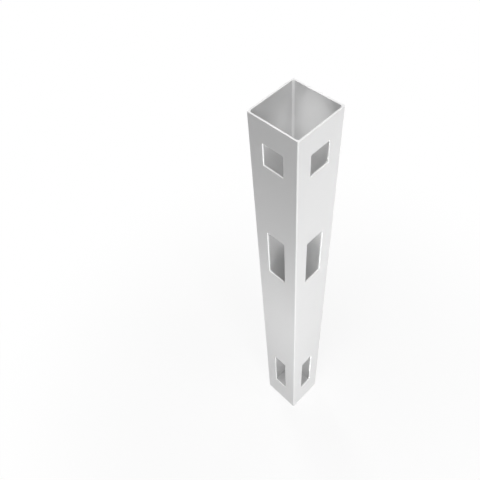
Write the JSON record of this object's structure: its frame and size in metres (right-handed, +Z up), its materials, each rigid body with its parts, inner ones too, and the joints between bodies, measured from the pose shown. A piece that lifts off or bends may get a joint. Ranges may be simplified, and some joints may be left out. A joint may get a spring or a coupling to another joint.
{
  "type": "corner fence post",
  "caption": "Hollow square vinyl fence post for a corner, with rail pockets routed through adjoining walls at matching heights.",
  "frame": {"origin": "middle of the lower end", "axes": "+Z up along the post; the routed walls face -Y and +X"},
  "size_m": [0.127, 0.127, 1.372],
  "materials": {
    "vinyl": "white extruded vinyl, low gloss"
  },
  "bodies": {
    "root": {"corner_post": "vinyl"}
  },
  "joints": []
}
